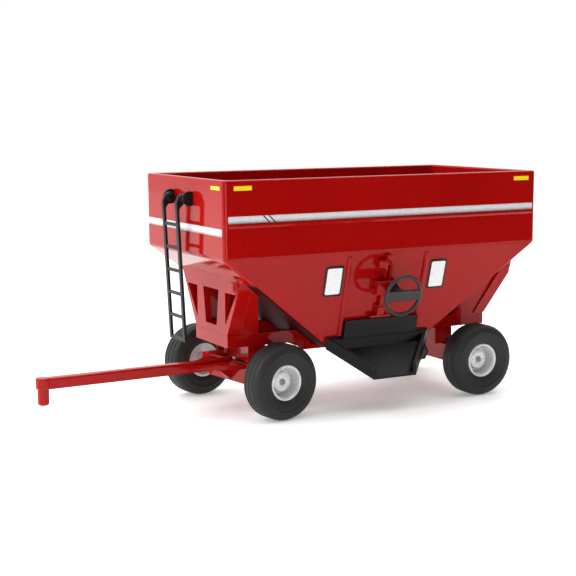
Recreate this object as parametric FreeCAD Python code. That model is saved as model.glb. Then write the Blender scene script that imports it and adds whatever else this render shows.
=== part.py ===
import FreeCAD, Part
import math
import os
from FreeCAD import Vector, Rotation

# Toy gravity grain wagon, 1:64 die-cast, in millimetres.
# +X runs forward to the hitch, +Y to the unloading side, +Z up, the ground is z = 0.
# Shapes are built with x = 0 at the middle of the hopper and y = 0 on its centreline,
# then moved by ORIGIN so that the row's origin is under the middle of the whole toy.
ORIGIN = Vector(-16.57, -2.45, 0)

# Hopper
HOPPER_LENGTH = 73.5
HOPPER_WIDTH = 38.0
RIM_Z = 47.8
FOLD_Z = 32.6
FLOOR_Z = 12.9
WALL = 1.2
CORNER_R = 0.9
RIM_ROUND = 0.4
SLOPE = 0.777
PANEL_LEAN = 0.276
BEAD_Z = 39.2
RIB_X = 9.1

# Frame
RAIL_Y = 7.6
RAIL_TOP_Z = 16.3
RAIL_BOTTOM_Z = 13.7
FRONT_FACE_X = 30.9
REAR_FACE_X = -31.8
FLARE = 0.586
PEDESTAL_PLATE = 1.4
PEDESTAL_FLANGE = 1.4
POST_WEB = 2.4
REAR_LEAN = -0.25

# Running gear
AXLE_Z = 7.6
FRONT_AXLE_X = 25.0
REAR_AXLE_X = -24.7
TRACK = 30.24
TYRE_R = 7.6
TYRE_WIDTH = 5.3
RIM_R = 3.9
ROD_R = 0.5
STEER_AT_REST = 8.03
KINGPIN_R = 1.1
RUNNING = 0.06

# Tongue
HITCH_REACH = 43.9
TONGUE_HALF_WIDTH = 1.1
TONGUE_RISE = 0.026
PEG_R = 1.1

# Ladder
LADDER_Y = 3.36
LADDER_PIVOT = Vector(38.05, 0, 43.75)
LUG_CENTRE = Vector(37.45, 0, 43.7)
RUNG_COUNT = 6
RUNG_STEP = 4.63

# Handwheel
WHEEL_CENTRE = Vector(-0.7, 23.0, 24.0)
WHEEL_TILT = 12.0
WHEEL_R = 4.0
RIM_TUBE_R = 0.36

X = Vector(1, 0, 0)
Y = Vector(0, 1, 0)
Z = Vector(0, 0, 1)


def box(x0, x1, y0, y1, z0, z1):
    return Part.makeBox(x1 - x0, y1 - y0, z1 - z0, Vector(x0, y0, z0))


def rod(start, end, radius):
    return Part.makeCylinder(radius, (end - start).Length, start, end - start)


def prism(points, push):
    """A flat polygon pushed along a vector."""
    return Part.Face(Part.makePolygon(points + points[:1])).extrude(push)


def prism_xz(points, y0, y1):
    return prism([Vector(x, y0, z) for x, z in points], Vector(0, y1 - y0, 0))


def prism_yz(points, x0, x1):
    return prism([Vector(x0, y, z) for y, z in points], Vector(x1 - x0, 0, 0))


def fuse(shapes, merge_faces=True):
    whole = shapes[0]
    for shape in shapes[1:]:
        whole = whole.fuse(shape)
    return whole.removeSplitter() if merge_faces else whole


def both_sides(shape):
    return Part.makeCompound([shape, shape.mirror(Vector(0, 0, 0), Y)])


def round_edges(shape, radius, picks):
    edges = [e for e in shape.Edges if picks(e)]
    return shape.makeFillet(radius, edges) if edges else shape


def runs_along(edge, axis):
    if not isinstance(edge.Curve, (Part.Line, Part.LineSegment)):
        return False
    d = edge.Vertexes[-1].Point - edge.Vertexes[0].Point
    return d.Length > 1e-6 and abs(d.normalize().dot(axis)) > 0.999


def export(name, shape):
    if shape.ShapeType == "Compound" and len(shape.Solids) == 1:
        shape = shape.Solids[0]
    shape = shape.copy()
    shape.translate(ORIGIN)
    assert shape.isValid(), name
    os.makedirs("parts", exist_ok=True)
    shape.exportStep("parts/%s.step" % name)


def panel_y(z):
    """Outer face of the hopper's leaning side panel at height z."""
    return HOPPER_WIDTH / 2 - PANEL_LEAN * (FOLD_Z - z)


def slope_x(z):
    """Outer face of the hopper's sloping end sheet at height z."""
    return HOPPER_LENGTH / 2 - 0.1 - (FOLD_Z - z) / SLOPE


def round_rect(half_x, half_y, z, radius):
    flat = Part.makePlane(2 * half_x, 2 * half_y, Vector(-half_x, -half_y, z))
    solid = flat.extrude(Z)
    solid = round_edges(solid, radius, lambda e: runs_along(e, Z))
    for face in solid.Faces:
        if abs(face.CenterOfMass.z - z) < 1e-6:
            return face.OuterWire


def funnel(top, bottom, radii):
    """Ruled solid between two rounded rectangles, each (half x, half y, z)."""
    wires = [round_rect(*top, radii[0]), round_rect(*bottom, radii[1])]
    return Part.makeLoft(wires, True, True)


def hopper_outside():
    half_x, half_y = HOPPER_LENGTH / 2, HOPPER_WIDTH / 2
    upper = Part.Face(round_rect(half_x, half_y, FOLD_Z, CORNER_R)).extrude(Z * (RIM_Z - FOLD_Z))
    lower = funnel((half_x, half_y, FOLD_Z), (slope_x(FLOOR_Z), panel_y(FLOOR_Z), FLOOR_Z),
                   (CORNER_R, 0.5))
    return fuse([upper, lower])


def hopper_inside():
    half_x, half_y = HOPPER_LENGTH / 2 - WALL, HOPPER_WIDTH / 2 - WALL
    end_wall = WALL * math.hypot(1, SLOPE) / SLOPE
    side_wall = WALL * math.hypot(1, PANEL_LEAN)
    fold = FOLD_Z + (end_wall - WALL) * SLOPE
    bottom = FLOOR_Z + WALL
    upper = Part.Face(round_rect(half_x, half_y, fold, 1.0)).extrude(Z * (RIM_Z - fold + 1))
    lower = funnel((half_x, half_y, fold), (slope_x(bottom) - end_wall, panel_y(bottom) - side_wall,
                                            bottom), (1.0, 0.4))
    return fuse([upper, lower])


def side_bead():
    """Small rolled bead along the side, bevelled underneath."""
    y = HOPPER_WIDTH / 2
    half = HOPPER_LENGTH / 2 - CORNER_R - 0.1
    return prism_yz([(y - 0.3, BEAD_Z - 0.5), (y, BEAD_Z - 0.5), (y + 0.35, BEAD_Z - 0.1),
                     (y + 0.35, BEAD_Z + 0.2), (y, BEAD_Z + 0.25), (y - 0.3, BEAD_Z + 0.25)],
                    -half, half)


def panel_rib(x):
    """Half-round stiffener down the side panel, with a domed top end."""
    top, bottom = FOLD_Z - 0.5, 15.6
    start = Vector(x, panel_y(bottom), bottom)
    end = Vector(x, panel_y(top), top)
    rib = rod(start, end, 0.5)
    return rib.makeFillet(0.45, [e for e in rib.Edges if e.BoundBox.ZMin > top - 0.3])


def hopper_shell():
    outside = hopper_outside()
    add = [outside]
    for bead in (side_bead(), side_bead().mirror(Vector(0, 0, 0), Y)):
        add.append(bead)
    for x in (-RIB_X, RIB_X):
        rib = panel_rib(x)
        add += [rib, rib.mirror(Vector(0, 0, 0), Y)]
    shell = fuse(add, merge_faces=False).cut(hopper_inside())
    rim = [e for e in shell.Edges if e.BoundBox.ZMin > RIM_Z - 0.01]
    return shell.makeFillet(RIM_ROUND, rim)


def end_pedestal(face_x, foot_y, flare, knee_z, lean):
    """Flared cast face that stands on the frame and carries the hopper's end sheet.

    It has a tapered opening in the middle and a triangle on each side, and a flange
    runs behind each flared edge and a web behind each post. Above the knee its sides are
    upright."""
    back = face_x - math.copysign(PEDESTAL_PLATE, face_x)
    z0, z1 = RAIL_TOP_Z - 0.1, 31.0
    knee_y = foot_y + flare * (knee_z - z0)
    edge = [(foot_y, z0), (knee_y, knee_z), (knee_y, z1)]
    shape = prism_yz(edge + [(-y, z) for y, z in reversed(edge)], back, face_x)
    cuts = [[(-2.6, 17.7), (2.6, 17.7), (3.7, 25.1), (-3.7, 25.1)]]
    flange_x = back - math.copysign(PEDESTAL_FLANGE, face_x)
    for side in (-1, 1):
        cuts.append([(side * 6.7, 18.2), (side * 11.6, 24.9), (side * 6.7, 24.9)])
        flange = [(side * y, z) for y, z in edge]
        flange += [(side * (y - 1.5), z) for y, z in reversed(edge)]
        shape = shape.fuse(prism_yz(flange, flange_x, back))
        web = [(side * 4.2, z0), (side * 5.8, z0), (side * 5.8, z1), (side * 4.2, z1)]
        shape = shape.fuse(prism_yz(web, back - math.copysign(POST_WEB, face_x), back))
    for outline in cuts:
        shape = shape.cut(prism_yz(outline, min(back, face_x) - 1, max(back, face_x) + 1))
    shape = shape.removeSplitter()
    if lean:
        matrix = FreeCAD.Matrix()
        matrix.A13 = lean
        matrix.A14 = -lean * z0
        shape = shape.transformGeometry(matrix)
    return shape


def front_pedestal(outside):
    shape = end_pedestal(FRONT_FACE_X, RAIL_Y - 0.2, FLARE, 29.0, 0)
    lug = prism_yz([(9.4, 25.6), (13.0, 25.6), (13.0, 27.4), (9.4, 27.4)],
                   FRONT_FACE_X, FRONT_FACE_X + 0.35)
    return fuse([shape.cut(outside), lug.cut(outside)])


def rear_pedestal(outside):
    return end_pedestal(REAR_FACE_X, 7.9, 0.61, 25.6, REAR_LEAN).cut(outside)


def frame_half(way, face_x, lean):
    """Rails, end block and flared side wings under one end of the hopper."""
    inner, z0 = 12.6, RAIL_TOP_Z - 0.1
    wing_x = face_x - way * (PEDESTAL_PLATE + PEDESTAL_FLANGE)
    parts = []
    for side in (-1, 1):
        y = sorted((side * RAIL_Y, side * (RAIL_Y - 2.2)))
        x = sorted((way * inner, face_x))
        parts.append(box(x[0], x[1], y[0], y[1], RAIL_BOTTOM_Z, z0))
        wing = [(way * 24.0, RAIL_Y, z0), (wing_x, RAIL_Y, z0),
                (wing_x + lean * 12, RAIL_Y + 0.57 * 12, z0 + 12),
                (way * 27.4, RAIL_Y + 0.57 * 12, z0 + 12)]
        points = [Vector(px, side * py, pz) for px, py, pz in wing]
        parts.append(prism(points, Vector(0, -side * 1.2, 0)))
    x = sorted((face_x, face_x - way * 2.4))
    parts.append(box(x[0], x[1], -RAIL_Y, RAIL_Y, RAIL_BOTTOM_Z, z0))
    return parts


def frame_castings(outside, pedestals):
    """One casting: a half frame at each end joined by the pan under the hopper."""
    parts = frame_half(1, FRONT_FACE_X, 0) + frame_half(-1, REAR_FACE_X, REAR_LEAN)
    parts.append(box(-12.7, 12.7, -RAIL_Y, RAIL_Y, 11.9, FLOOR_Z))
    for way in (-1, 1):
        for side in (-1, 1):
            x = sorted((way * 12.0, way * 13.6))
            y = sorted((side * RAIL_Y, side * (RAIL_Y - 2.2)))
            parts.append(box(x[0], x[1], y[0], y[1], 11.9, RAIL_TOP_Z - 0.1))
    shape = fuse(parts).cut(outside)
    for pedestal in pedestals:
        shape = shape.cut(pedestal)
    return max(shape.Solids, key=lambda solid: solid.Volume)


def front_bolster():
    """Block under the front of the frame, with a recess and a small boss in its face."""
    block = box(22.4, 26.3, -RAIL_Y + 0.1, RAIL_Y - 0.1, 10.5, RAIL_BOTTOM_Z)
    block = block.cut(box(24.9, 28, -6.9, -1.3, 10, 13.0))
    block = block.fuse(rod(Vector(25.4, -4.1, 10.5), Vector(25.4, -4.1, 13.1), 0.7))
    return block.cut(rod(Vector(FRONT_AXLE_X, 0, 9), Vector(FRONT_AXLE_X, 0, 13.2), KINGPIN_R))


def kingpin():
    """Pin pressed into the bolster; its collar snaps into the axle beam."""
    at = Vector(FRONT_AXLE_X, 0, 0)
    stem = rod(at + Z * 8.8, at + Z * 13.2, KINGPIN_R)
    collar = rod(at + Z * 8.8, at + Z * 9.2, KINGPIN_R + 0.3)
    return fuse([stem, collar])


def rear_axle_mount():
    """Upper block, and the cross beam that holds the rear axle."""
    x = REAR_AXLE_X
    upper = box(x + 1.1, x + 5.5, -RAIL_Y + 0.1, RAIL_Y - 0.1, 10.1, RAIL_BOTTOM_Z)
    beam = box(x - 3.0, x + 3.0, -10.2, 10.2, 6.1, 10.1)
    beam = round_edges(beam, 0.4, lambda e: runs_along(e, Y))
    bore = rod(Vector(x, -12, AXLE_Z), Vector(x, 12, AXLE_Z), ROD_R + RUNNING)
    return upper, fuse([beam]).cut(bore)


def steer(shape):
    """Turn a straight-ahead shape to the angle the front axle stands at."""
    turned = shape.copy()
    turned.rotate(Vector(FRONT_AXLE_X, 0, 0), Z, STEER_AT_REST)
    return turned


def front_axle_beam():
    """Cross beam with tapered ends, a bore for the axle and a pocket for the kingpin."""
    x = FRONT_AXLE_X
    beam = prism_yz([(-7.2, 5.7), (7.2, 5.7), (10.0, 8.4), (10.0, 10.1), (-10.0, 10.1),
                     (-10.0, 8.4)], x - 2.3, x + 2.3)
    beam = round_edges(beam, 0.25, lambda e: runs_along(e, Y) and e.BoundBox.ZMin > 10)
    at = Vector(x, 0, 0)
    beam = beam.cut(rod(at + Z * 9, at + Z * 11, KINGPIN_R + RUNNING))
    beam = beam.cut(rod(at + Z * 8.5, at + Z * 9.5, KINGPIN_R + 0.6))
    return beam.cut(rod(Vector(x, -12, AXLE_Z), Vector(x, 12, AXLE_Z), ROD_R + RUNNING))


def tongue_z(s, top):
    """Height of the tongue's lower or upper face at a distance from the kingpin."""
    return (10.25 if top else 8.15) + TONGUE_RISE * s


def tongue_bar():
    """Straight bar to the hitch head, spreading into a web at the axle beam."""
    s0, s1 = 2.3, HITCH_REACH
    profile = [(FRONT_AXLE_X + s, tongue_z(s, top)) for s, top in
               ((s0, False), (s1, False), (s1, True), (s0, True))]
    bar = prism_xz(profile, -TONGUE_HALF_WIDTH, TONGUE_HALF_WIDTH)
    bar = round_edges(bar, 0.4, lambda e: e.Length > 30 and e.BoundBox.ZMin > 10)
    web = [(s0, -6.2), (s0 + 1.2, -6.2), (12.0, -TONGUE_HALF_WIDTH), (12.0, TONGUE_HALF_WIDTH),
           (s0 + 1.2, 6.2), (s0, 6.2)]
    web = prism([Vector(FRONT_AXLE_X + s, y, 8.9) for s, y in web], Z * 1.0)
    return fuse([bar, web])


def tongue_gusset():
    """Triangular gusset between the tongue's underside and the axle beam's face."""
    s0, s1 = 2.3, 5.4
    side = [(s0, 5.9), (s1, tongue_z(s1, False)), (s0, tongue_z(s0, False))]
    return prism_xz([(FRONT_AXLE_X + s, z) for s, z in side], -0.9, 0.9)


def hitch_head(bar):
    """Rounded head with the downward drawbar peg: straight, then a small chamfer."""
    at = Vector(FRONT_AXLE_X + HITCH_REACH, 0, 0)
    z1 = tongue_z(HITCH_REACH, True) + 0.05
    head = rod(at + Z * (z1 - 2.2), at + Z * z1, 1.4)
    head = round_edges(head, 0.35, lambda e: e.Length > 8)
    peg = rod(at + Z * 6.2, at + Z * (z1 - 2.0), PEG_R)
    peg = peg.makeChamfer(0.25, [e for e in peg.Edges if e.BoundBox.ZMax < 6.3])
    return fuse([head, peg]).cut(bar)


def tyre(y_mid, way):
    """Balloon tyre with three tread grooves and a raised ring on each shoulder."""
    half = TYRE_WIDTH / 2
    right = [(RIM_R, 0.80 * half), (RIM_R + 0.35, 0.93 * half), (5.55, half), (5.75, half + 0.12),
             (6.05, half + 0.12), (6.25, half - 0.08), (6.85, 0.86 * half), (7.25, 0.72 * half)]
    grooves = []
    for y in (0.50 * half, 0.0, -0.50 * half):
        grooves += [(TYRE_R, y + 0.32), (TYRE_R - 0.28, y + 0.22), (TYRE_R - 0.28, y - 0.22),
                    (TYRE_R, y - 0.32)]
    tread = [(TYRE_R, 0.60 * half)] + grooves + [(TYRE_R, -0.60 * half)]
    left = [(r, -y) for r, y in reversed(right)]
    outline = [Vector(r, y, 0) for r, y in right + tread + left]
    face = Part.Face(Part.makePolygon(outline + outline[:1]))
    return place_wheel(face.revolve(Vector(0, 0, 0), Y, 360), y_mid, way)


def rim(y_mid, way):
    """Pressed-disc rim: lip, deep recess, raised hub with a dimple and a ring of studs."""
    half = TYRE_WIDTH / 2
    barrel = 0.80 * half
    disc = barrel - 1.45
    outline = [(ROD_R, -0.9), (1.6, -0.9), (1.6, disc - 0.7), (3.1, disc - 0.7), (3.3, -barrel),
               (RIM_R, -barrel), (RIM_R, barrel), (3.65, barrel + 0.15), (3.35, barrel + 0.05),
               (3.05, disc + 0.25), (2.75, disc), (2.05, disc), (1.90, disc + 0.45),
               (1.35, disc + 0.55), (0.75, disc + 0.55), (ROD_R, disc + 0.35)]
    points = [Vector(r, y, 0) for r, y in outline]
    face = Part.Face(Part.makePolygon(points + points[:1]))
    body = face.revolve(Vector(0, 0, 0), Y, 360)
    studs = []
    for k in range(8):
        a = math.radians(45 * k)
        at = Vector(1.28 * math.cos(a), disc + 0.2, 1.28 * math.sin(a))
        studs.append(rod(at, at + Y * 0.47, 0.16))
    return place_wheel(fuse([body] + studs), y_mid, way)


def place_wheel(shape, y_mid, way):
    if way < 0:
        shape = shape.mirror(Vector(0, 0, 0), Y)
    shape = shape.copy()
    shape.translate(Vector(0, y_mid, AXLE_Z))
    return shape


def axle_rod(x):
    reach = TRACK / 2 + 0.9
    return rod(Vector(x, -reach, AXLE_Z), Vector(x, reach, AXLE_Z), ROD_R)


def sheared_box(x0, x1, z0, z1, near, far):
    """Block parallel to the side panel, from one stand-off to another."""
    return prism_yz([(panel_y(z0) + near, z0), (panel_y(z1) + near, z1),
                     (panel_y(z1) + far, z1), (panel_y(z0) + far, z0)], x0, x1)


def gearbox_housing(spindle_bore):
    body = sheared_box(-2.2, 2.6, 23.7, 26.6, 0, 1.9)
    body = round_edges(body, 0.25, lambda e: not runs_along(e, Z) and e.BoundBox.YMin > 17.6)
    flange = sheared_box(-2.9, 3.3, 24.3, 25.0, 0, 0.6)
    return fuse([body, flange]).cut(spindle_bore)


def gate_clevis():
    """Upper guide of the gate: a lug block beside a taller ear."""
    low = sheared_box(0.9, 2.7, 29.3, 30.9, 0, 1.5)
    ear = sheared_box(-0.4, 0.9, 29.9, 31.9, 0, 1.2)
    return fuse([low, ear])


def gate_racks():
    """Twin upright bars between the gearbox and the clevis."""
    bars = [sheared_box(x, x + 0.6, 26.6, 29.9, 0, 0.8) for x in (-0.9, 0.25)]
    return Part.makeCompound(bars)


def gate_post(gearbox):
    """Round post from the gearbox down to the foot, with a bracket and a spread foot."""
    x = 0.6
    start = Vector(x, panel_y(19.2) + 0.55, 19.2)
    end = Vector(x, panel_y(23.8) + 0.55, 23.8)
    post = rod(start, end, 0.38)
    bracket = sheared_box(x - 0.8, x + 0.8, 19.1, 21.4, 0, 1.2)
    bracket = bracket.cut(sheared_box(x - 1.2, x + 1.2, 21.0, 21.5, 0.9, 1.4))
    foot = sheared_box(x - 2.4, x + 2.3, 18.9, 19.3, 0, 1.3)
    return fuse([post, bracket, foot]).cut(hopper_outside()).cut(gearbox)


def spindle_axis():
    tilt = math.radians(WHEEL_TILT)
    return Vector(0, math.cos(tilt), -math.sin(tilt))


def handwheel():
    """Rim on one broad flat bar, with a boss behind for the spindle."""
    axis = spindle_axis()
    rim_ring = Part.makeTorus(WHEEL_R, RIM_TUBE_R)
    bar = box(-WHEEL_R, WHEEL_R, -1.05, 1.05, -0.3, 0.3)
    bar = bar.common(rod(Vector(0, 0, -1), Vector(0, 0, 1), WHEEL_R))
    boss = rod(Vector(0, 0, -1.6), Vector(0, 0, 0.3), 1.0)
    wheel = fuse([rim_ring, bar, boss]).cut(rod(Vector(0, 0, -2), Vector(0, 0, -0.2), 0.55))
    wheel.Placement = FreeCAD.Placement(WHEEL_CENTRE, Rotation(X, Y.cross(X), axis, "ZXY"))
    return wheel


def spindle():
    axis = spindle_axis()
    return rod(WHEEL_CENTRE - axis * 5.6, WHEEL_CENTRE - axis * 0.2, 0.55)


def spindle_collar():
    """Tapered collar on the shaft, between the gearbox and the wheel."""
    axis = spindle_axis()
    cone = Part.makeCone(1.35, 0.8, 2.3, WHEEL_CENTRE - axis * 3.9, axis)
    return cone.cut(spindle())


def tray_wedge(inset, lift, y0, y1, height):
    """Block with a tapered plan whose floor slopes down and outwards."""
    def floor(y):
        return 12.85 - 0.85 * (y - 14.6) + lift
    half = [5.05 + (21.3 - y) * 1.067 - inset for y in (y0, y1)]
    low = [Vector(-half[0], y0, floor(y0)), Vector(half[0], y0, floor(y0)),
           Vector(half[1], y1, floor(y1)), Vector(-half[1], y1, floor(y1))]
    return prism(low, Z * height)


def chute_tray(hopper):
    """Moulded tray: tall plate against the panel, sloping floor, two side walls."""
    outer = tray_wedge(0, 0, 14.5, 21.3, 2.4)
    inner = tray_wedge(0.75, 0.5, 15.2, 22.5, 6)
    tray = outer.cut(inner)
    plate = sheared_box(-8.9, 8.5, 11.9, 18.6, 0, 1.0)
    bracket = prism_yz([(14.6, 13.0), (14.6, 9.2), (15.5, 8.9), (16.8, 10.8)], -11.2, -10.5)
    tray = fuse([tray, plate, bracket])
    return tray.cut(inner.common(box(-20, 20, 15.3, 24, 0, 16))).cut(hopper)


def ladder_rail_x(z):
    """The ladder hangs with its foot a little nearer to the wagon."""
    return 38.31 + (z - 15.0) * 0.0475


def ladder_rail(y):
    """Flat rail whose top bends towards the wagon and ends in a round eye on the pivot."""
    def edges(z):
        return (ladder_rail_x(z) - 0.38, z), (ladder_rail_x(z) + 0.16, z)
    px, pz = LADDER_PIVOT.x, LADDER_PIVOT.z
    inner_foot, outer_foot = edges(15.0)
    arm = [(px + 1.1, pz + 0.5), (px, pz + 0.7), (px, pz - 0.8), (px + 0.4, pz - 1.4),
           (px + 0.9, pz - 1.8)]
    outline = [inner_foot, outer_foot, edges(pz - 0.95)[1]] + arm + [edges(pz - 2.4)[0]]
    rail = prism_xz(outline, y - 0.5, y + 0.5)
    eye = rod(Vector(px, y - 0.65, pz), Vector(px, y + 0.65, pz), 0.95)
    bore = rod(Vector(px, y - 1, pz), Vector(px, y + 1, pz), 0.5 + RUNNING)
    return fuse([rail, eye]).cut(bore)


def ladder_rails():
    return both_sides(ladder_rail(LADDER_Y))


def ladder_rungs():
    rungs = []
    for k in range(RUNG_COUNT):
        z = 15.35 + RUNG_STEP * k
        x = ladder_rail_x(z) - 0.11
        rungs.append(box(x - 0.22, x + 0.22, -LADDER_Y + 0.5, LADDER_Y - 0.5, z - 0.32, z + 0.32))
    return Part.makeCompound(rungs)


def ladder_lug(side):
    """Round lug on the front wall, outside each eye."""
    y0, y1 = sorted((side * (LADDER_Y + 0.95), side * (LADDER_Y + 1.65)))
    disc = rod(LUG_CENTRE + Y * y0, LUG_CENTRE + Y * y1, 1.48)
    disc = disc.common(box(HOPPER_LENGTH / 2, 45, y0, y1, 40, 47))
    pivot = LADDER_PIVOT
    return disc.cut(rod(pivot + Y * (y0 - 1), pivot + Y * (y1 + 1), 0.5))


def ladder_pin(side):
    """Rivet through lug and eye, with a thin head on each end."""
    px, pz = LADDER_PIVOT.x, LADDER_PIVOT.z
    inner = Vector(px, side * (LADDER_Y - 1.25), pz)
    outer = Vector(px, side * (LADDER_Y + 1.9), pz)
    step = Y * (side * 0.28)
    return fuse([rod(inner, outer, 0.5), rod(inner, inner + step, 0.75),
                 rod(outer - step * 0.89, outer, 0.7)])


def sight_window(x_mid):
    """Thin glazed panel on the side panel, flush apart from its own thickness."""
    x0, x1, z0, z1, c = x_mid - 2.1, x_mid + 2.1, 24.0, 30.2, 0.35
    outline = [(x0 + c, z0), (x1 - c, z0), (x1, z0 + c), (x1, z1 - c),
               (x1 - c, z1), (x0 + c, z1), (x0, z1 - c), (x0, z0 + c)]
    return sheared_box(x0, x1, z0, z1, 0, 0.12).common(prism_xz(outline, 15, 20))


def main():
    outside = hopper_outside()
    shell = hopper_shell()
    export("hopper_shell", shell)

    front, rear = front_pedestal(outside), rear_pedestal(outside)
    export("front_pedestal", front)
    export("rear_pedestal", rear)
    export("frame", frame_castings(outside, (front, rear)))
    export("front_bolster", front_bolster())
    export("kingpin", kingpin())
    upper, beam = rear_axle_mount()
    export("rear_axle_block", upper)
    export("rear_axle_beam", beam)

    bar = tongue_bar()
    export("front_axle_beam", steer(front_axle_beam()))
    export("tongue_bar", steer(bar))
    export("tongue_gusset", steer(tongue_gusset()))
    export("hitch_peg", steer(hitch_head(bar)))

    for end, x, turn in (("front", FRONT_AXLE_X, steer), ("rear", REAR_AXLE_X, lambda s: s)):
        export(end + "_axle_rod", turn(axle_rod(x)))
        for side, way in (("left", 1), ("right", -1)):
            for kind, make in (("tyre", tyre), ("rim", rim)):
                wheel = make(way * TRACK / 2, way)
                wheel.translate(Vector(x, 0, 0))
                export("%s_%s_%s" % (end, side, kind), turn(wheel))

    spindle_bore = rod(WHEEL_CENTRE - spindle_axis() * 6.2, WHEEL_CENTRE, 0.55 + RUNNING)
    gearbox = gearbox_housing(spindle_bore)
    export("gearbox_housing", gearbox)
    export("gate_clevis", gate_clevis())
    export("gate_racks", gate_racks())
    export("gate_post", gate_post(gearbox))
    export("handwheel", handwheel())
    export("handwheel_spindle", spindle())
    export("handwheel_collar", spindle_collar())
    export("chute_tray", chute_tray(shell.fuse(outside)))

    export("ladder_rails", ladder_rails())
    export("ladder_rungs", ladder_rungs())
    export("ladder_lugs", Part.makeCompound([ladder_lug(1), ladder_lug(-1)]))
    export("ladder_pins", Part.makeCompound([ladder_pin(1), ladder_pin(-1)]))
    export("front_sight_window", sight_window(12.2))
    export("rear_sight_window", sight_window(-12.5))


main()
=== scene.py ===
import math

import bmesh
import bpy
from mathutils import Matrix, Vector


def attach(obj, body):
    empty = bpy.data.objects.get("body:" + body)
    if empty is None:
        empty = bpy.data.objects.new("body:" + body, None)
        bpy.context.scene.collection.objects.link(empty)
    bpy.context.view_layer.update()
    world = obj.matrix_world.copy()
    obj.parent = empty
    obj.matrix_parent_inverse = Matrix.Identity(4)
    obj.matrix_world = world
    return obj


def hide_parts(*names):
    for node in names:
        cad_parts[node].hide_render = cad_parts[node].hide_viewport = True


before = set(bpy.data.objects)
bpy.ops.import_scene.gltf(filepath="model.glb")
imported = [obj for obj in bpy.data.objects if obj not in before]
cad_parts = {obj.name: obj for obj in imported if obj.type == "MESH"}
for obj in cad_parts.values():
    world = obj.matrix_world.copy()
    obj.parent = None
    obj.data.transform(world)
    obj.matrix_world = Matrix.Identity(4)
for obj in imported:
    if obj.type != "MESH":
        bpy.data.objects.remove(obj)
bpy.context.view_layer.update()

# The looks of the toy grain wagon. The wagon's own lengths are millimetres, with x = 0 at the
# middle of the hopper and y = 0 on its centreline; row() takes them to the row frame in metres.
# Distances inside the materials, and the floor, lights and camera, are in metres.
MM = 0.001
ORIGIN = Vector((-16.57, -2.45, 0.0))

AXLE_Z = 7.6
FRONT_AXLE = Vector((25.0, 0.0, AXLE_Z))
REAR_AXLE = Vector((-24.7, 0.0, AXLE_Z))
HALF_TRACK = 15.12
STEER = math.radians(8.03)
TYRE_HALF = 2.65

WHEEL_CENTRE = Vector((-0.7, 23.0, 24.0))
WHEEL_TILT = math.radians(12.0)
WHEEL_R = 4.0
RIM_TUBE = 0.36

HALF_LENGTH = 36.75
HALF_WIDTH = 19.0
CORNER_MARGIN = 0.92
FOLD_Z = 32.6
PANEL_LEAN = 0.276
# Height below which the hopper's down-facing faces get painted shade.
UNDERSIDE_SHADE_TOP_Z = 27.6

FILM = 0.02
SIDE_STRIPE_Z = (39.6, 41.0)
FRONT_STRIPE_Z = (37.1, 38.6)


def row(point):
    return (Vector(point) + ORIGIN) * MM


# ---------------------------------------------------------------- materials

def new_material(name):
    """A node material with its Principled shader, a noise maker and a linker."""
    material = bpy.data.materials.new(name)
    material.use_nodes = True
    tree = material.node_tree
    shader = tree.nodes["Principled BSDF"]
    where = tree.nodes.new("ShaderNodeTexCoord")

    def noise(scale, detail=3.0, rough=0.5, stretch=None):
        node = tree.nodes.new("ShaderNodeTexNoise")
        node.inputs["Scale"].default_value = scale
        node.inputs["Detail"].default_value = detail
        node.inputs["Roughness"].default_value = rough
        source = where.outputs["Object"]
        if stretch:
            mapping = tree.nodes.new("ShaderNodeMapping")
            mapping.inputs["Scale"].default_value = stretch
            tree.links.new(source, mapping.inputs["Vector"])
            source = mapping.outputs["Vector"]
        tree.links.new(source, node.inputs["Vector"])
        return node.outputs["Fac"]

    return material, tree, shader, noise


def ramp(tree, source, stops):
    """Colour ramp from (position, grey or colour) stops."""
    node = tree.nodes.new("ShaderNodeValToRGB")
    elements = node.color_ramp.elements
    while len(elements) < len(stops):
        elements.new(0.5)
    for element, (position, value) in zip(elements, stops):
        element.position = position
        colour = value if isinstance(value, tuple) else (value, value, value)
        element.color = (*colour, 1.0)
    tree.links.new(source, node.inputs["Fac"])
    return node.outputs["Color"]


def blend(tree, factor, a, b, mode="MIX"):
    node = tree.nodes.new("ShaderNodeMix")
    node.data_type = "RGBA"
    node.blend_type = mode
    for socket, value in ((node.inputs[0], factor), (node.inputs[6], a), (node.inputs[7], b)):
        if hasattr(value, "is_linked"):
            tree.links.new(value, socket)
        elif isinstance(value, tuple):
            socket.default_value = (*value, 1.0)
        else:
            socket.default_value = value
    return node.outputs[2]


def bump(tree, shader, heights):
    """Chained bumps from (height output, strength, distance in metres)."""
    previous = None
    for height, strength, distance in heights:
        node = tree.nodes.new("ShaderNodeBump")
        node.inputs["Strength"].default_value = strength
        node.inputs["Distance"].default_value = distance
        tree.links.new(height, node.inputs["Height"])
        if previous:
            tree.links.new(previous, node.inputs["Normal"])
        previous = node.outputs["Normal"]
    tree.links.new(previous, shader.inputs["Normal"])


def near_edges(tree):
    """0 on flats, rising to about 0.3 within a quarter of a millimetre of a sharp edge."""
    rounded_off = tree.nodes.new("ShaderNodeBevel")
    rounded_off.samples = 4
    rounded_off.inputs["Radius"].default_value = 0.00025
    true = tree.nodes.new("ShaderNodeNewGeometry")
    agree = tree.nodes.new("ShaderNodeVectorMath")
    agree.operation = "DOT_PRODUCT"
    tree.links.new(rounded_off.outputs["Normal"], agree.inputs[0])
    tree.links.new(true.outputs["Normal"], agree.inputs[1])
    off = tree.nodes.new("ShaderNodeMath")
    off.operation = "SUBTRACT"
    off.inputs[0].default_value = 1.0
    tree.links.new(agree.outputs["Value"], off.inputs[1])
    return off.outputs["Value"]


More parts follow.
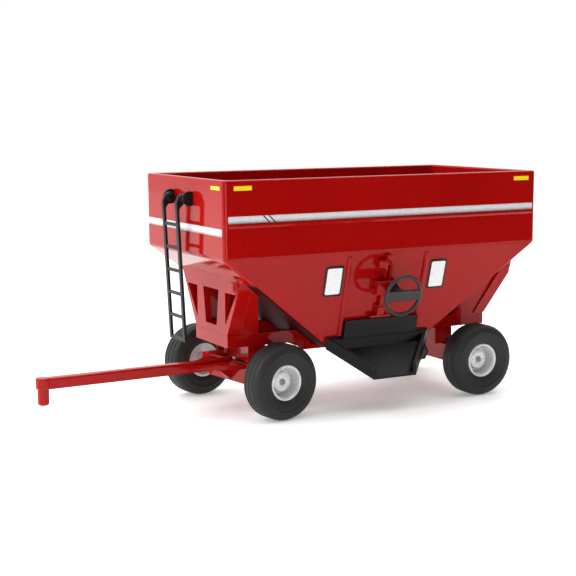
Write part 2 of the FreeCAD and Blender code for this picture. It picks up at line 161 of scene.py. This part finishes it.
def surface(name, colours, rough, grain, peel, edge=None, metallic=0.0, ior=1.5, stretch=None):
    """Procedural finish.

    colours: darker, middle and lighter tone; rough: low and high roughness;
    grain: noise scales for the broad and the fine variation;
    peel: (noise scale, strength, depth in metres) of the surface bump;
    edge: (colour, amount) of the lightening along sharp edges; stretch: the fine noise's scale on each
    axis."""
    material, tree, shader, noise = new_material(name)
    broad, fine = noise(grain[0], 2.0), noise(grain[1], 4.0, 0.6, stretch)
    tone = ramp(tree, broad, [(0.30, colours[0]), (0.52, colours[1]), (0.75, colours[2])])
    speck = ramp(tree, fine, [(0.35, 0.90), (0.50, 1.0), (0.68, 1.0), (0.80, 1.06)])
    colour = blend(tree, 1.0, tone, speck, "MULTIPLY")
    roughness = blend(tree, fine, (rough[0],) * 3, (rough[1],) * 3)
    if edge:
        # Lighter, rougher colour in patches along sharp edges.
        edge_lightening = ramp(tree, near_edges(tree), [(0.02, 0.0), (0.20, edge[1])])
        patchy_edge_lightening = blend(tree, 1.0, edge_lightening, ramp(tree, fine, [(0.35, 0.25), (0.60, 1.0)]), "MULTIPLY")
        colour = blend(tree, patchy_edge_lightening, colour, edge[0])
        roughness = blend(tree, patchy_edge_lightening, roughness, (rough[1] + 0.08,) * 3)
    tree.links.new(colour, shader.inputs["Base Color"])
    tree.links.new(roughness, shader.inputs["Roughness"])
    bump(tree, shader, [(noise(peel[0], 2.0), peel[1], peel[2]),
                        (fine, peel[1] * 0.5, peel[2] * 0.5)])
    shader.inputs["Metallic"].default_value = metallic
    shader.inputs["IOR"].default_value = ior
    return material


def red_enamel(name):
    """Glossy red paint, a shade lighter along its edges."""
    tones = [(0.360, 0.0036, 0.0028), (0.384, 0.0040, 0.0031), (0.404, 0.0047, 0.0036)]
    return surface(name, tones, (0.05, 0.10), (45.0, 900.0), (1500.0, 0.03, 0.00001),
                   ((0.60, 0.05, 0.04), 0.35), ior=1.29)


def shade_underside(material, top_z):
    """Painted shade: faces that look down, below a given height, turn nearly black and dull, with
    little reflection.
    """
    tree = material.node_tree
    shader = tree.nodes["Principled BSDF"]
    face, place = (tree.nodes.new("ShaderNodeSeparateXYZ") for _ in range(2))
    geometry = tree.nodes.new("ShaderNodeNewGeometry")
    where = tree.nodes.new("ShaderNodeTexCoord")
    tree.links.new(geometry.outputs["True Normal"], face.inputs["Vector"])
    tree.links.new(where.outputs["Object"], place.inputs["Vector"])
    bands = []
    for source, clear, full in ((face.outputs["Z"], -0.50, -0.65),
                                (place.outputs["Z"], top_z * MM, (top_z - 0.6) * MM)):
        band = tree.nodes.new("ShaderNodeMapRange")
        band.inputs["From Min"].default_value = clear
        band.inputs["From Max"].default_value = full
        tree.links.new(source, band.inputs["Value"])
        bands.append(band.outputs["Result"])
    both = tree.nodes.new("ShaderNodeMath")
    both.operation = "MULTIPLY"
    for k in (0, 1):
        tree.links.new(bands[k], both.inputs[k])
    shade_mask = both.outputs["Value"]
    # Painted shade: nearly black and dull where the mask is full.
    for socket, shade_value in (("Base Color", (0.045, 0.0020, 0.0018)), ("Roughness", (0.60,) * 3)):
        painted = shader.inputs[socket].links[0].from_socket
        tree.links.new(blend(tree, shade_mask, painted, shade_value), shader.inputs[socket])
    # Weaker reflection inside the painted shade.
    level = tree.nodes.new("ShaderNodeMapRange")
    level.inputs["To Min"].default_value = 0.5
    level.inputs["To Max"].default_value = 0.08
    tree.links.new(shade_mask, level.inputs["Value"])
    tree.links.new(level.outputs["Result"], shader.inputs["Specular IOR Level"])
    return material


RED = red_enamel("red_enamel")
# The hopper's red carries painted shade on its low, down-facing faces.
HOPPER_RED_SHADED_BELOW = shade_underside(red_enamel("hopper_enamel_shaded_below"), UNDERSIDE_SHADE_TOP_Z)
BLACK = surface("black_moulding", [(0.0040, 0.0040, 0.0043), (0.0054, 0.0054, 0.0057),
                                   (0.0074, 0.0074, 0.0076)],
                (0.26, 0.40), (120.0, 1800.0), (2600.0, 0.30, 0.00003), ((0.040, 0.040, 0.042), 0.5),
                ior=1.27)
LADDER = surface("black_ladder", [(0.0034, 0.0034, 0.0036), (0.0046, 0.0046, 0.0048),
                                  (0.0064, 0.0064, 0.0067)],
                 (0.30, 0.44), (160.0, 2200.0), (3000.0, 0.30, 0.00002), ((0.050, 0.050, 0.052), 0.6),
                 ior=1.28)
WHEEL_GREY = surface("dark_grey_moulding", [(0.016, 0.0165, 0.017), (0.020, 0.0205, 0.021),
                                            (0.026, 0.0265, 0.027)],
                     (0.30, 0.42), (160.0, 2400.0), (3000.0, 0.25, 0.00002), ((0.08, 0.08, 0.08), 0.5),
                     ior=1.42)
RUBBER = surface("tyre_rubber", [(0.013, 0.0133, 0.0128), (0.017, 0.0172, 0.0165),
                                 (0.022, 0.0220, 0.0212)],
                 (0.48, 0.64), (140.0, 2600.0), (3600.0, 0.35, 0.00003), ((0.048, 0.048, 0.047), 0.5),
                 ior=1.40)
SILVER = surface("silver_paint", [(0.66, 0.675, 0.685), (0.73, 0.745, 0.750), (0.79, 0.80, 0.805)],
                 (0.22, 0.36), (200.0, 3600.0), (4200.0, 0.18, 0.00001), ((0.88, 0.89, 0.90), 0.5),
                 metallic=0.30)
STEEL = surface("bright_steel", [(0.52, 0.53, 0.54), (0.60, 0.61, 0.62), (0.68, 0.69, 0.70)],
                (0.20, 0.38), (300.0, 2600.0), (4200.0, 0.20, 0.00001), ((0.7, 0.7, 0.7), 0.4),
                metallic=0.5, stretch=(1.0, 0.12, 1.0))
PANE_WHITE = surface("white_pane", [(0.92, 0.93, 0.93), (0.94, 0.95, 0.95), (0.96, 0.96, 0.96)],
                     (0.18, 0.28), (160.0, 2200.0), (3000.0, 0.12, 0.00001))
PANE_BORDER = surface("black_border", [(0.007, 0.007, 0.008), (0.009, 0.009, 0.010),
                                       (0.013, 0.013, 0.013)],
                      (0.22, 0.34), (160.0, 2200.0), (3000.0, 0.15, 0.00001), ior=1.36)
TAPE = surface("yellow_tape", [(0.96, 0.74, 0.008), (0.99, 0.80, 0.012), (1.0, 0.86, 0.018)],
               (0.20, 0.32), (260.0, 2600.0), (5200.0, 0.22, 0.00001))


def stripe_material(name, heights):
    """Silver-white printed stripe: bright in the middle, greyer and dotted at its lower edge."""
    material, tree, shader, noise = new_material(name)
    split = tree.nodes.new("ShaderNodeSeparateXYZ")
    where = tree.nodes.new("ShaderNodeTexCoord")
    tree.links.new(where.outputs["Object"], split.inputs["Vector"])
    across = tree.nodes.new("ShaderNodeMapRange")
    across.inputs["From Min"].default_value = heights[0] * MM
    across.inputs["From Max"].default_value = heights[1] * MM
    tree.links.new(split.outputs["Z"], across.inputs["Value"])
    fade = ramp(tree, across.outputs["Result"],
                [(0.0, (0.30, 0.16, 0.16)), (0.22, (0.60, 0.55, 0.57)), (0.50, (0.80, 0.80, 0.83)),
                 (0.80, (0.78, 0.78, 0.81)), (1.0, (0.62, 0.60, 0.63))])
    dots = ramp(tree, noise(3200.0, 2.0), [(0.40, 0.90), (0.60, 1.0)])
    tree.links.new(blend(tree, 1.0, fade, dots, "MULTIPLY"), shader.inputs["Base Color"])
    rough = blend(tree, noise(900.0), (0.20,) * 3, (0.34,) * 3)
    tree.links.new(rough, shader.inputs["Roughness"])
    bump(tree, shader, [(noise(3000.0, 2.0), 0.12, 0.00001)])
    return material


SIDE_STRIPE = stripe_material("side_stripe_print", SIDE_STRIPE_Z)
FRONT_STRIPE = stripe_material("front_stripe_print", FRONT_STRIPE_Z)


# ---------------------------------------------------------------- mesh helpers

def finish_mesh(name, mesh, material, body, sharp=35.0):
    """Object from a mesh that is already in the row frame, riding on a body."""
    mesh.shade_smooth()
    mesh.set_sharp_from_angle(angle=math.radians(sharp))
    mesh.materials.append(material)
    piece = bpy.data.objects.new(name, mesh)
    bpy.context.scene.collection.objects.link(piece)
    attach(piece, body)
    return piece


def to_mesh(name, bm):
    bmesh.ops.recalc_face_normals(bm, faces=bm.faces)
    mesh = bpy.data.meshes.new(name)
    bm.to_mesh(mesh)
    bm.free()
    return mesh


def lathe(bm, outline, segments, reach=lambda k, r, y: r):
    """Closed (radius, y) outline turned about the local Y axis."""
    rings = []
    for k in range(segments):
        a = 2 * math.pi * k / segments
        ring = []
        for r, y in outline:
            radius = reach(k, r, y)
            ring.append(bm.verts.new((radius * math.cos(a), y, radius * math.sin(a))))
        rings.append(ring)
    count = len(outline)
    for k, ring in enumerate(rings):
        after = rings[(k + 1) % segments]
        for i in range(count):
            j = (i + 1) % count
            bm.faces.new((ring[i], ring[j], after[j], after[i]))


def wheel_place(axle, side, turn):
    """Matrix from a wheel's own frame, outer face on +Y, to the row frame in metres."""
    flip = Matrix.Rotation(math.pi if side < 0 else 0.0, 4, "Z")
    out = Matrix.Translation(Vector((0, side * HALF_TRACK, 0)))
    steered = Matrix.Translation(axle + ORIGIN) @ Matrix.Rotation(turn, 4, "Z")
    return Matrix.Scale(MM, 4) @ steered @ out @ flip


# ---------------------------------------------------------------- wheels

BEAD_R = 3.62
HUB_Y = 0.72
RIBS = (1.27, 0.0, -1.27)
NOTCHES = 48
STEPS_PER_NOTCH = 4
TYRE_SEGMENTS = NOTCHES * STEPS_PER_NOTCH
NOTCH_DEPTH = 0.07


def tyre_outline():
    """Full balloon section: bulged wall, a faint ring near the shoulder, shallow grooves."""
    h = TYRE_HALF
    wall = [(BEAD_R, 0.72 * h), (BEAD_R + 0.05, 0.80 * h), (3.90, 0.88 * h), (4.35, 0.955 * h),
            (4.90, 0.99 * h), (5.50, h), (5.68, h + 0.02), (5.80, h + 0.10), (6.00, h + 0.10),
            (6.12, h + 0.01), (6.30, h - 0.03), (6.65, 0.965 * h), (6.95, 0.92 * h),
            (7.18, 0.86 * h), (7.36, 0.78 * h), (7.49, 0.69 * h), (7.57, 0.60 * h)]
    tread = []
    for y in RIBS:
        tread += [(7.60, y + 0.30), (7.58, y + 0.20), (7.47, y + 0.12), (7.47, y - 0.12),
                  (7.58, y - 0.20), (7.60, y - 0.30)]
    return wall + tread + [(r, -y) for r, y in reversed(wall)]


def tread_reach(k, r, y):
    """Lowers one step in each notch, across the outer ribs only."""
    in_notch = k % STEPS_PER_NOTCH == 0
    return r - NOTCH_DEPTH if in_notch and r > 7.40 and abs(y) > 0.95 else r


def build_tyre(name, place):
    bm = bmesh.new()
    lathe(bm, tyre_outline(), TYRE_SEGMENTS, tread_reach)
    mesh = to_mesh(name, bm)
    mesh.transform(place)
    return mesh


def rim_outline():
    """Pressed rim: rolled lip, deep recess, raised hub with a dimple for the axle end."""
    barrel, floor = 0.80 * TYRE_HALF, HUB_Y - 1.15
    return [(0.50, HUB_Y - 0.30), (0.56, HUB_Y - 0.12), (0.72, HUB_Y - 0.02), (0.90, HUB_Y),
            (1.72, HUB_Y), (1.90, HUB_Y - 0.04), (2.01, HUB_Y - 0.14), (2.06, HUB_Y - 0.32),
            (2.10, floor + 0.15), (2.18, floor), (2.66, floor), (2.78, floor + 0.12),
            (2.84, floor + 0.40), (2.96, barrel - 0.70), (3.04, barrel - 0.22),
            (3.12, barrel - 0.02), (3.22, barrel + 0.10), (3.36, barrel + 0.15),
            (3.50, barrel + 0.10), (3.59, barrel - 0.02), (BEAD_R, barrel - 0.16),
            (BEAD_R, 0.6 - barrel), (BEAD_R, -barrel), (3.25, -barrel), (2.95, floor - 0.55),
            (2.75, floor - 0.60), (1.70, floor - 0.60), (1.60, floor - 0.70), (1.60, -1.25),
            (1.50, -1.30), (0.50, -1.30)]


def stud_head(bm, at, radius, height):
    """Small domed stud on a flat seat, axis along local Y."""
    section = [(radius * 1.25, 0.0), (radius * 1.25, height * 0.25), (radius, height * 0.30),
               (radius, height * 0.72), (radius * 0.75, height * 0.94), (0.0, height)]
    sides, rings = 16, []
    for r, y in section[:-1]:
        ring = []
        for k in range(sides):
            a = 2 * math.pi * k / sides
            ring.append(bm.verts.new(at + Vector((r * math.cos(a), y, r * math.sin(a)))))
        rings.append(ring)
    for low, high in zip(rings, rings[1:]):
        for k in range(sides):
            j = (k + 1) % sides
            bm.faces.new((low[k], low[j], high[j], high[k]))
    tip = bm.verts.new(at + Vector((0, height, 0)))
    for k in range(sides):
        bm.faces.new((rings[-1][k], rings[-1][(k + 1) % sides], tip))
    bm.faces.new(list(reversed(rings[0])))


STUDS = 8
STUD_CIRCLE_R = 1.30


def build_rim(name, place):
    bm = bmesh.new()
    lathe(bm, rim_outline(), 128)
    for k in range(STUDS):
        a = 2 * math.pi * k / STUDS
        at = Vector((STUD_CIRCLE_R * math.cos(a), HUB_Y - 0.01, STUD_CIRCLE_R * math.sin(a)))
        stud_head(bm, at, 0.13, 0.12)
    mesh = to_mesh(name, bm)
    mesh.transform(place)
    return mesh


def build_wheels():
    for end, axle, turn in (("front", FRONT_AXLE, STEER), ("rear", REAR_AXLE, 0.0)):
        for side_name, side in (("left", 1), ("right", -1)):
            place = wheel_place(axle, side, turn)
            stem = "%s_%s" % (end, side_name)
            body = end + "_wheelset"
            tyre = finish_mesh(stem + "_balloon_tyre", build_tyre(stem, place), RUBBER, body,
                               30)
            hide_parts(stem + "_tyre")
            rim = finish_mesh(stem + "_pressed_rim", build_rim(stem + "_rim", place), SILVER,
                              body, 40)
            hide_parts(stem + "_rim")


# ---------------------------------------------------------------- handwheel

def close_tube(bm, rings):
    """Faces between rings of equal size, the last ring joined to the first."""
    for k, ring in enumerate(rings):
        after = rings[(k + 1) % len(rings)]
        for j in range(len(ring)):
            j2 = (j + 1) % len(ring)
            bm.faces.new((ring[j], after[j], after[j2], ring[j2]))


def add_rim_tube(bm, turns=96, sides=20):
    rings = []
    for k in range(turns):
        a = 2 * math.pi * k / turns
        ring = []
        for j in range(sides):
            b = 2 * math.pi * j / sides
            r = WHEEL_R + RIM_TUBE * math.cos(b)
            ring.append(bm.verts.new((r * math.cos(a), r * math.sin(a), RIM_TUBE * math.sin(b))))
        rings.append(ring)
    close_tube(bm, rings)


def add_cross_bar(bm, half_w=1.05, half_t=0.30, soft=0.12, steps=24):
    """Flat bar with softened edges, its ends kept inside the rim's centre circle."""
    reach = WHEEL_R - 0.05
    section = [(-half_w, -half_t + soft), (-half_w + soft, -half_t), (half_w - soft, -half_t),
               (half_w, -half_t + soft), (half_w, half_t - soft), (half_w - soft, half_t),
               (-half_w + soft, half_t), (-half_w, half_t - soft)]
    loops = []
    for s in range(steps + 1):
        x = -reach + 2 * reach * s / steps
        room = math.sqrt(max(0.0, WHEEL_R ** 2 - x ** 2))
        loops.append([bm.verts.new((x, max(-room, min(room, y)), z)) for y, z in section])
    for a, b in zip(loops, loops[1:]):
        for j in range(len(section)):
            j2 = (j + 1) % len(section)
            bm.faces.new((a[j], b[j], b[j2], a[j2]))
    bm.faces.new(loops[0])
    bm.faces.new(list(reversed(loops[-1])))


def add_boss(bm, sides=40, bore_r=0.56, back=-1.6):
    """Stepped boss behind the bar, with a closed face at each end."""
    rings = []
    for r, z in ((bore_r, back), (1.0, back), (1.0, -0.45), (1.18, -0.25), (1.18, 0.0)):
        rings.append([bm.verts.new((r * math.cos(2 * math.pi * k / sides),
                                    r * math.sin(2 * math.pi * k / sides), z))
                      for k in range(sides)])
    for low, high in zip(rings, rings[1:]):
        for k in range(sides):
            j = (k + 1) % sides
            bm.faces.new((low[k], low[j], high[j], high[k]))
    bm.faces.new(list(reversed(rings[0])))
    bm.faces.new(rings[-1])


def build_handwheel():
    """Round-section rim, one broad softened bar across it and a stepped boss behind."""
    bm = bmesh.new()
    add_rim_tube(bm)
    add_cross_bar(bm)
    add_boss(bm)
    axis = Vector((0, math.cos(WHEEL_TILT), -math.sin(WHEEL_TILT)))
    across = Vector((1, 0, 0))
    up = axis.cross(across)
    place = Matrix((across, up, axis)).transposed().to_4x4()
    mesh = to_mesh("handwheel_rim", bm)
    mesh.transform(Matrix.Scale(MM, 4) @ Matrix.Translation(WHEEL_CENTRE + ORIGIN) @ place)
    wheel = finish_mesh("handwheel_moulding", mesh, WHEEL_GREY, "handwheel")
    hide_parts("handwheel")


# ---------------------------------------------------------------- printed marks

def slab(name, outline, lift, thickness, place, material):
    """Thin printed film: a flat outline (u, v) raised by its thickness, in a given plane."""
    bm = bmesh.new()
    low = [bm.verts.new(place(u, v, lift)) for u, v in outline]
    high = [bm.verts.new(place(u, v, lift + thickness)) for u, v in outline]
    bm.faces.new(high)
    bm.faces.new(list(reversed(low)))
    for k in range(len(outline)):
        j = (k + 1) % len(outline)
        bm.faces.new((low[k], low[j], high[j], high[k]))
    finish_mesh(name, to_mesh(name, bm), material, "wagon")


def rounded(u0, u1, v0, v1, radius, steps=6):
    points = []
    corners = ((u1 - radius, v1 - radius, 0), (u0 + radius, v1 - radius, 90),
               (u0 + radius, v0 + radius, 180), (u1 - radius, v0 + radius, 270))
    for cu, cv, start in corners:
        for k in range(steps + 1):
            a = math.radians(start + 90 * k / steps)
            points.append((cu + radius * math.cos(a), cv + radius * math.sin(a)))
    return points


def on_side(side):
    """Plane of the upright upper side: u is x, v is height."""
    return lambda u, v, out: row((u, side * (HALF_WIDTH + out), v))


def on_front(u, v, out):
    return row((HALF_LENGTH + out, u, v))


def on_panel(u, v, out):
    """Plane of the leaning lower panel on the unloading side."""
    lean = math.hypot(1, PANEL_LEAN)
    y = HALF_WIDTH - PANEL_LEAN * (FOLD_Z - v) + out / lean
    return row((u, y, v - out * PANEL_LEAN / lean))


def build_side_marks(side, tag):
    """Stripe with two slanted bars near its front end, and a reflector strip at each end."""
    place = on_side(side)
    edge = HALF_LENGTH - CORNER_MARGIN
    low, high = SIDE_STRIPE_Z
    slab("side_stripe_" + tag, rounded(-edge, edge, low, high, 0.05), 0, FILM, place,
         SIDE_STRIPE)
    top, foot = high - 0.02, low + 0.02
    for x, mark in ((28.6, "a"), (27.4, "b")):
        line = [(x, top), (x - 0.35, top), (x - 1.75, foot), (x - 1.40, foot)]
        slab("stripe_bar_%s_%s" % (tag, mark), line, FILM, FILM / 2, place, PANE_BORDER)
    for x0, x1, end in ((30.8, 34.6, "front"), (-34.8, -30.9, "rear")):
        slab("tape_%s_%s" % (tag, end), rounded(x0, x1, 45.85, 46.7, 0.08), 0, FILM, place,
             TAPE)


def build_marks():
    for side, tag in ((1, "left"), (-1, "right")):
        build_side_marks(side, tag)
    half = HALF_WIDTH - CORNER_MARGIN
    slab("front_stripe", rounded(-half, half, *FRONT_STRIPE_Z, 0.05), 0, FILM, on_front,
         FRONT_STRIPE)
    slab("tape_face", rounded(13.35, 17.3, 45.9, 46.6, 0.08), 0, FILM, on_front, TAPE)
    for x, tag in ((12.2, "front"), (-12.5, "rear")):
        slab("pane_" + tag, rounded(x - 1.68, x + 1.68, 24.42, 29.78, 0.35), 0.12, FILM,
             on_panel, PANE_WHITE)


# ---------------------------------------------------------------- carried-over CAD nodes

SOFT_EDGE = {"hopper_shell": 0.14, "front_pedestal": 0.42, "rear_pedestal": 0.42, "frame": 0.20,
             "chute_tray": 0.16, "front_bolster": 0.18, "rear_axle_block": 0.18,
             "rear_axle_beam": 0.16, "front_axle_beam": 0.16, "tongue_bar": 0.14,
             "tongue_gusset": 0.12, "hitch_peg": 0.12, "gearbox_housing": 0.10,
             "gate_clevis": 0.10, "gate_racks": 0.06, "gate_post": 0.08, "ladder_rails": 0.10,
             "ladder_rungs": 0.08, "ladder_lugs": 0.10, "ladder_pins": 0.05,
             "handwheel_collar": 0.08}
SHARP_ANGLE = math.radians(35)
FOLD_SOFTNESS = 0.45
FOLD_TOLERANCE = 0.02

# Of the CAD nodes that are shown, those not named here are painted red.
FINISH = {"hopper_shell": HOPPER_RED_SHADED_BELOW, "chute_tray": BLACK, "ladder_rails": LADDER,
          "ladder_rungs": LADDER, "ladder_lugs": LADDER, "ladder_pins": LADDER,
          "handwheel_collar": BLACK, "handwheel_spindle": BLACK, "front_axle_rod": STEEL,
          "rear_axle_rod": STEEL, "kingpin": STEEL, "front_sight_window": PANE_BORDER,
          "rear_sight_window": PANE_BORDER}


def weigh_fold(mesh):
    """Bevel weight on the hopper's outer fold, where the upright sheets turn inwards."""
    weights = mesh.attributes.new("bevel_weight_edge", "FLOAT", "EDGE")
    ends = [vertex.co for vertex in mesh.vertices]
    for edge in mesh.edges:
        a, b = (ends[i] / MM - ORIGIN for i in edge.vertices)
        level = all(abs(p.z - FOLD_Z) < FOLD_TOLERANCE for p in (a, b))
        outer = all(abs(p.x) > HALF_LENGTH - 1.0 or abs(p.y) > HALF_WIDTH - 1.0 for p in (a, b))
        weights.data[edge.index].value = 1.0 if level and outer else 0.0


def add_bevel(node, name, width, limit):
    soft = node.modifiers.new(name, "BEVEL")
    soft.width = width * MM
    soft.segments = 3
    soft.limit_method = limit
    soft.angle_limit = SHARP_ANGLE
    soft.harden_normals = True
    return soft


def dress_nodes():
    """Softened edges and a procedural finish on each CAD node that stays."""
    for name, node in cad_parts.items():
        if node.hide_render:
            continue
        material = FINISH.get(name, RED)
        node.data.materials.clear()
        node.data.materials.append(material)
        for polygon in node.data.polygons:
            polygon.material_index = 0
        custom = node.data.attributes.get("custom_normal")
        if custom:
            node.data.attributes.remove(custom)
        weld = node.modifiers.new("weld", "WELD")
        weld.merge_threshold = 0.000002
        if name == "hopper_shell":
            weigh_fold(node.data)
            add_bevel(node, "soft fold", FOLD_SOFTNESS, "WEIGHT").use_clamp_overlap = False
        if name in SOFT_EDGE:
            add_bevel(node, "soft edges", SOFT_EDGE[name], "ANGLE")
        flats = node.modifiers.new("flat faces stay flat", "WEIGHTED_NORMAL")
        flats.weight = 50
        flats.keep_sharp = True
        node.data.shade_smooth()


# ---------------------------------------------------------------- stage

def add_plane(name, corners, material):
    mesh = bpy.data.meshes.new(name)
    mesh.from_pydata(corners, [], [(0, 1, 2, 3)])
    mesh.materials.append(material)
    plane = bpy.data.objects.new(name, mesh)
    bpy.context.scene.collection.objects.link(plane)


def softbox(name, at, size, power, target=(-0.01, 0.0, 0.02)):
    light = bpy.data.lights.new(name, "AREA")
    light.shape = "RECTANGLE"
    light.size, light.size_y = size
    light.energy = power
    lamp = bpy.data.objects.new(name, light)
    lamp.location = at
    lamp.rotation_euler = (Vector(target) - Vector(at)).to_track_quat("-Z", "Y").to_euler()
    bpy.context.scene.collection.objects.link(lamp)


def build_floor():
    floor = surface("studio_floor", [(0.84, 0.84, 0.84), (0.86, 0.86, 0.86), (0.88, 0.88, 0.88)],
                    (0.55, 0.65), (3.0, 60.0), (200.0, 0.05, 0.0001))
    glow = floor.node_tree.nodes["Principled BSDF"].inputs
    glow["Emission Color"].default_value = (1, 1, 1, 1)
    glow["Emission Strength"].default_value = 0.28
    far, near = 0.7, 0.19
    add_plane("studio_floor", [(-far, -far, 0), (far, -far, 0), (far, near, 0), (-far, near, 0)],
              floor)


def build_world():
    """Pale studio: bright towards -Y, dark on the camera's side, plain white to the camera."""
    world = bpy.data.worlds.new("studio")
    bpy.context.scene.world = world
    world.use_nodes = True
    tree = world.node_tree
    back = tree.nodes["Background"]
    where = tree.nodes.new("ShaderNodeTexCoord")
    split = tree.nodes.new("ShaderNodeSeparateXYZ")
    tree.links.new(where.outputs["Generated"], split.inputs["Vector"])
    glow = ramp(tree, split.outputs["Y"], [(0.0, 1.0), (0.12, 0.30), (0.30, 0.04), (1.0, 0.03)])
    wall = tree.nodes.new("ShaderNodeBackground")
    tree.links.new(glow, back.inputs["Color"])
    back.inputs["Strength"].default_value = 1.0
    wall.inputs["Color"].default_value = (1, 1, 1, 1)
    wall.inputs["Strength"].default_value = 1.0
    seen = tree.nodes.new("ShaderNodeLightPath")
    mix = tree.nodes.new("ShaderNodeMixShader")
    tree.links.new(seen.outputs["Is Camera Ray"], mix.inputs["Fac"])
    tree.links.new(back.outputs["Background"], mix.inputs[1])
    tree.links.new(wall.outputs["Background"], mix.inputs[2])
    tree.links.new(mix.outputs["Shader"], tree.nodes["World Output"].inputs["Surface"])


def build_lights():
    softbox("top", (-0.05, -0.10, 0.85), (1.5, 1.5), 13.0)
    softbox("key", (0.42, -0.02, 0.30), (0.24, 0.24), 1.1)
    softbox("fill", (0.16, 0.34, 0.04), (0.20, 0.12), 0.25)


# Position in metres; yaw, downward pitch and roll in degrees; focal length in millimetres.
CAMERA_AT = (0.122692, 0.233894, 0.060605)
CAMERA_TURN = (28.098, 7.827, -0.341)
CAMERA_LENS = 80.448


def add_camera():
    """Three-quarter view from the front left."""
    yaw, pitch, roll = (math.radians(angle) for angle in CAMERA_TURN)
    level = Vector((-math.sin(yaw), -math.cos(yaw), 0))
    side, up = Vector((-math.cos(yaw), math.sin(yaw), 0)), Vector((0, 0, 1))
    ahead = level * math.cos(pitch) - up * math.sin(pitch)
    tall = up * math.cos(pitch) + level * math.sin(pitch)
    right = side * math.cos(roll) + tall * math.sin(roll)
    top = tall * math.cos(roll) - side * math.sin(roll)
    data = bpy.data.cameras.new("camera")
    data.lens, data.sensor_width = CAMERA_LENS, 36.0
    data.clip_start, data.clip_end = 0.005, 20.0
    camera = bpy.data.objects.new("camera", data)
    axes = Matrix((right, top, -ahead)).transposed().to_4x4()
    camera.matrix_world = Matrix.Translation(CAMERA_AT) @ axes
    bpy.context.scene.collection.objects.link(camera)
    bpy.context.scene.camera = camera


build_wheels()
build_handwheel()
build_marks()
dress_nodes()
build_floor()
build_world()
build_lights()
add_camera()
bpy.context.scene.view_settings.view_transform = "Standard"
